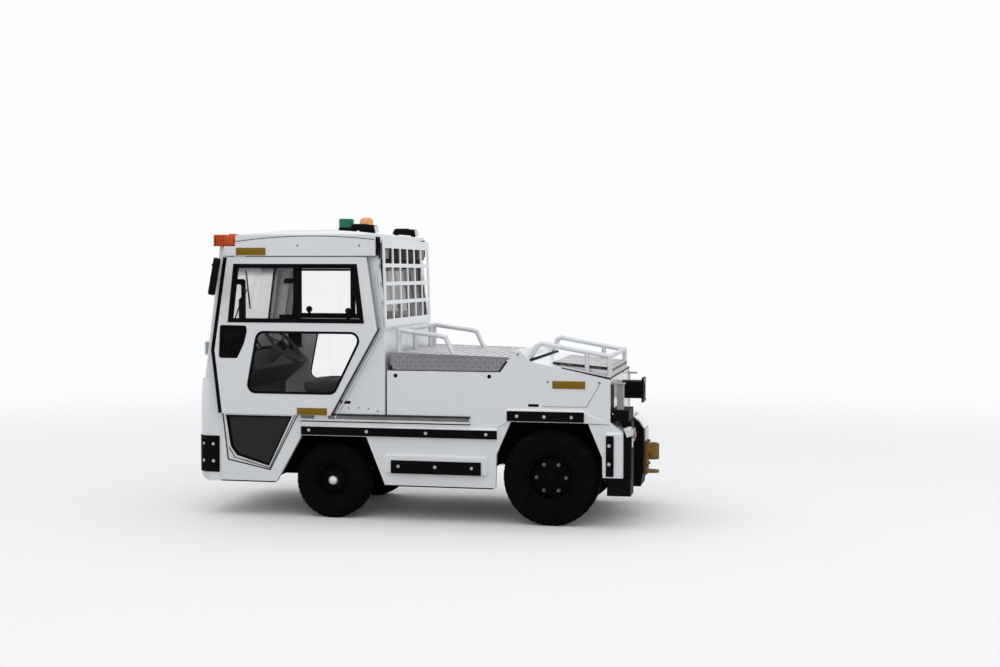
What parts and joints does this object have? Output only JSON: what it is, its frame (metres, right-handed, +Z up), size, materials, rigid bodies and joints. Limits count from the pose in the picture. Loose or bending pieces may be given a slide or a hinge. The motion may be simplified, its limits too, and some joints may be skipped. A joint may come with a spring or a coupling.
{
  "type": "airport baggage tug",
  "caption": "Electric airport baggage tug with a closed cab, sliding doors, a lifting battery deck, a railed rear deck and a pin tow hitch.",
  "frame": {"origin": "under the middle of the box around the whole tug, at ground level", "axes": "+X forward, +Y to the left side, +Z up"},
  "size_m": [3.274, 1.725, 2.1566],
  "materials": {
    "white_paint": "gloss",
    "black_paint": "satin",
    "grey_steel": "satin",
    "checker_plate": "rough",
    "bare_aluminium": "satin",
    "tyre_rubber": "matte",
    "rim_black": "satin",
    "black_rubber": "matte",
    "clear_glass": "clear",
    "lamp_clear": "gloss",
    "lamp_black": "matte",
    "lens_orange": "gloss",
    "lens_green": "gloss",
    "lens_red": "gloss",
    "grey_plastic": "matte",
    "floor_mat": "matte",
    "seat_cloth": "matte",
    "battery_case": "satin",
    "hitch_brown": "rough"
  },
  "bodies": {
    "chassis": {"chassis_frame": "black_paint", "cab_floor": "floor_mat", "cab_sides": "white_paint", "cab_rear_wall": "white_paint", "cab_front": "white_paint", "nose_cowl": "white_paint", "roof": "white_paint", "cab_glass": "clear_glass", "cab_guard": "white_paint", "step_window_frames": "bare_aluminium", "headlamps": "lamp_clear", "work_lamps": "lamp_black", "front_indicators": "lens_orange", "rubber_strips": "black_rubber", "side_bodies": "white_paint", "wheel_liners": "black_paint", "door_rails": "bare_aluminium", "battery": "battery_case", "rear_hood": "white_paint", "rear_deck_plates": "checker_plate", "rear_rails": "bare_aluminium", "drive_motor": "battery_case", "front_axle": "black_paint", "rear_axle": "black_paint", "rear_bumper": "black_paint", "hitch_cover": "white_paint", "tow_hitch": "hitch_brown", "tail_lamps": "lens_red", "deck_posts": "grey_steel", "charging_inlet": "lamp_black", "seat_base": "grey_plastic", "seat_cushion": "seat_cloth", "seat_back": "seat_cloth", "dashboard": "grey_plastic", "steering_column": "grey_plastic", "beacon_orange": "lens_orange", "beacon_green": "lens_green", "grab_handles": "lamp_black", "mirrors": "lamp_black"},
    "knuckle_left": {"knuckle_left": "black_paint"},
    "knuckle_right": {"knuckle_right": "black_paint"},
    "wheel_front_left": {"tyre_front_left": "tyre_rubber", "rim_front_left": "rim_black"},
    "wheel_front_right": {"tyre_front_right": "tyre_rubber", "rim_front_right": "rim_black"},
    "wheel_rear_left": {"tyre_rear_left": "tyre_rubber", "rim_rear_left": "rim_black"},
    "wheel_rear_right": {"tyre_rear_right": "tyre_rubber", "rim_rear_right": "rim_black"},
    "door_left": {"door_left": "white_paint", "door_left_glass": "clear_glass", "door_left_trim": "black_rubber"},
    "door_right": {"door_right": "white_paint", "door_right_glass": "clear_glass", "door_right_trim": "black_rubber"},
    "battery_cover": {"battery_cover": "checker_plate", "deck_rails": "bare_aluminium"},
    "steering_wheel": {"steering_wheel": "grey_plastic"}
  },
  "joints": [
    {"name": "steer_left", "type": "hinge", "parent": "chassis", "child": "knuckle_left", "pos_m": [0.627, 0.428, 0.268], "axis": [0, 0, 1], "range_deg": [-35, 35]},
    {"name": "steer_right", "type": "hinge", "parent": "chassis", "child": "knuckle_right", "pos_m": [0.627, -0.428, 0.268], "axis": [0, 0, 1], "range_deg": [-35, 35]},
    {"name": "steering_wheel_turn", "type": "hinge", "parent": "chassis", "child": "steering_wheel", "pos_m": [1.121, 0.24, 1.216], "axis": [-0.7071, 0, 0.7071], "range_deg": [-420, 420]},
    {"name": "wheel_front_left_spin", "type": "hinge", "parent": "knuckle_left", "child": "wheel_front_left", "pos_m": [0.627, 0.526, 0.268], "axis": [0, 1, 0], "continuous": true},
    {"name": "wheel_front_right_spin", "type": "hinge", "parent": "knuckle_right", "child": "wheel_front_right", "pos_m": [0.627, -0.526, 0.268], "axis": [0, 1, 0], "continuous": true},
    {"name": "wheel_rear_left_spin", "type": "hinge", "parent": "chassis", "child": "wheel_rear_left", "pos_m": [-0.947, 0.5295, 0.335], "axis": [0, 1, 0], "continuous": true},
    {"name": "wheel_rear_right_spin", "type": "hinge", "parent": "chassis", "child": "wheel_rear_right", "pos_m": [-0.947, -0.5295, 0.335], "axis": [0, 1, 0], "continuous": true},
    {"name": "door_left_slide", "type": "slide", "parent": "chassis", "child": "door_left", "axis": [-1, 0, 0], "range_m": [0, 0.75]},
    {"name": "door_right_slide", "type": "slide", "parent": "chassis", "child": "door_right", "axis": [-1, 0, 0], "range_m": [0, 0.75]},
    {"name": "battery_cover_lift", "type": "hinge", "parent": "chassis", "child": "battery_cover", "pos_m": [-0.657, 0, 1.166], "axis": [0, -1, 0], "range_deg": [0, 60]}
  ],
  "couplings": [
    {"joint": "steer_right", "follows": "steer_left", "ratio": 1},
    {"joint": "steering_wheel_turn", "follows": "steer_left", "ratio": 12}
  ]
}
